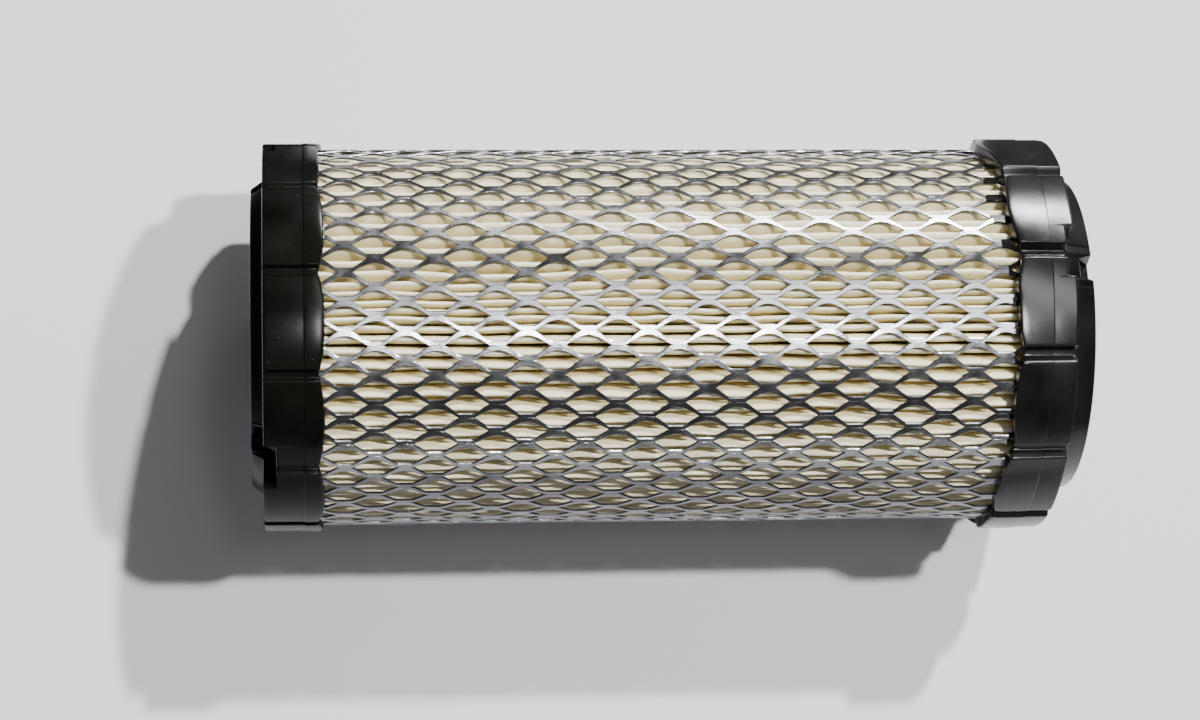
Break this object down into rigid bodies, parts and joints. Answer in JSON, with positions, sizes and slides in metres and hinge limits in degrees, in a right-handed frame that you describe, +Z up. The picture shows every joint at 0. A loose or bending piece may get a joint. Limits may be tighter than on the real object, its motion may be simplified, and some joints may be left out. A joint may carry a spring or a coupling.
{
  "type": "engine air filter cartridge",
  "caption": "Round pleated-paper air filter cartridge with an expanded-metal screen and moulded rubber end caps, open at one end with a radial seal bore.",
  "frame": {"origin": "on the floor, below the middle of the part's length, with the part lying on its side", "axes": "+X along the axis from the open end to the closed end, +Z up, the part rests on the bands of its end caps"},
  "size_m": [0.1814, 0.0874, 0.0874],
  "materials": {
    "cap_rubber": "semi-gloss moulded urethane rubber",
    "screen_metal": "bright galvanised expanded sheet",
    "filter_paper": "resin-treated cream paper",
    "seam_adhesive": "set hot-melt adhesive"
  },
  "bodies": {
    "root": {"open_end_cap": "cap_rubber", "closed_end_cap": "cap_rubber", "outer_screen": "screen_metal", "inner_screen": "screen_metal", "pleated_media": "filter_paper", "media_seam_bead": "seam_adhesive"}
  },
  "joints": []
}
